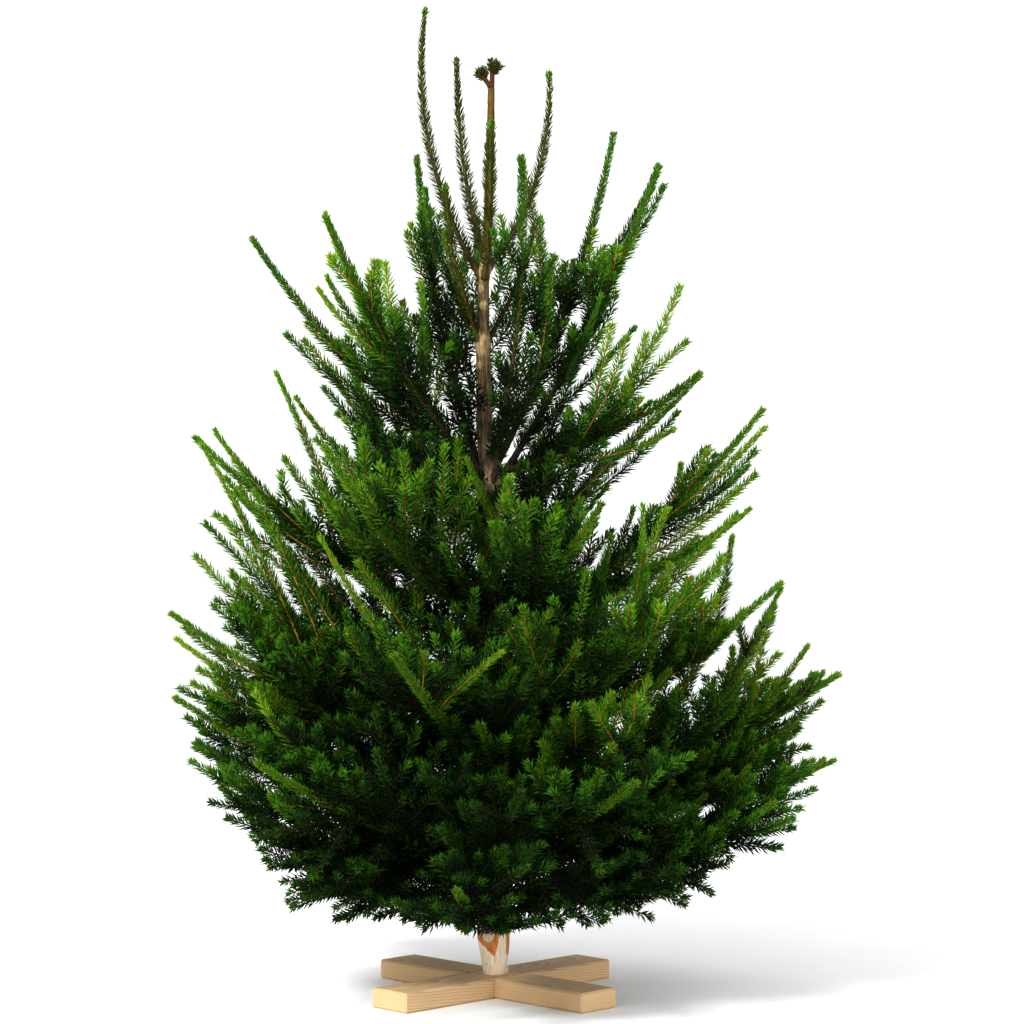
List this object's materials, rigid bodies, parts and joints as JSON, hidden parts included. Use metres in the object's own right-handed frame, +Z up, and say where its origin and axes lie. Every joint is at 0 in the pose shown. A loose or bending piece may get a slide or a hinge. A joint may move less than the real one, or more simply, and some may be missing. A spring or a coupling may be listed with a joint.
{
  "type": "cut spruce christmas tree",
  "caption": "Cut Norway spruce Christmas tree with rising whorls of needled boughs, its milled butt held in a plain wooden cross stand.",
  "frame": {"origin": "middle of the stand's underside, on the floor", "axes": "+Z up the trunk, the front of the tree faces -Y, +X to its right as seen from the front"},
  "size_m": [1.0326, 0.8885, 1.5064],
  "materials": {
    "bark": "rough scaly bark, peeled and milled at the butt",
    "foliage": "dense green needles on orange-brown shoots",
    "board": "sawn softwood"
  },
  "bodies": {
    "root": {"between1_left_front_foliage": "foliage", "between1_right_back_foliage": "foliage", "leader_foliage": "foliage", "stand_board_lower": "board", "stand_board_upper": "board", "trunk": "bark", "whorl1_front_foliage": "foliage", "whorl1_left_back_foliage": "foliage", "whorl1_left_foliage": "foliage", "whorl1_right_foliage": "foliage", "whorl2_back_bough": "bark", "whorl2_back_foliage": "foliage", "whorl2_front_bough": "bark", "whorl2_front_foliage": "foliage", "whorl2_left_back_bough": "bark", "whorl2_left_back_foliage": "foliage", "whorl2_left_bough": "bark", "whorl2_left_foliage": "foliage", "whorl2_left_front_bough": "bark", "whorl2_left_front_foliage": "foliage", "whorl2_right_back_bough": "bark", "whorl2_right_back_foliage": "foliage", "whorl2_right_bough": "bark", "whorl2_right_foliage": "foliage", "whorl2_right_front_bough": "bark", "whorl2_right_front_foliage": "foliage", "whorl3_left_back_bough": "bark", "whorl3_left_back_foliage": "foliage", "whorl3_left_bough": "bark", "whorl3_left_foliage": "foliage", "whorl3_left_front_bough": "bark", "whorl3_left_front_foliage": "foliage", "whorl3_right_back_bough": "bark", "whorl3_right_back_foliage": "foliage", "whorl3_right_bough": "bark", "whorl3_right_foliage": "foliage", "whorl3_right_front_bough": "bark", "whorl3_right_front_foliage": "foliage", "whorl4_left_back_bough": "bark", "whorl4_left_back_foliage": "foliage", "whorl4_left_bough": "bark", "whorl4_left_foliage": "foliage", "whorl4_left_front_bough": "bark", "whorl4_left_front_foliage": "foliage", "whorl4_right_back_bough": "bark", "whorl4_right_back_foliage": "foliage", "whorl4_right_bough": "bark", "whorl4_right_foliage": "foliage", "whorl4_right_front_bough": "bark", "whorl4_right_front_foliage": "foliage", "whorl5_back_foliage": "foliage", "whorl5_left_foliage": "foliage", "whorl5_left_front_foliage": "foliage", "whorl5_right_foliage": "foliage", "whorl5_right_front_foliage": "foliage", "whorl6_front_foliage": "foliage", "whorl6_left_back_foliage": "foliage", "whorl6_left_foliage": "foliage", "whorl6_right_back_foliage": "foliage", "whorl6_right_foliage": "foliage"}
  },
  "joints": []
}
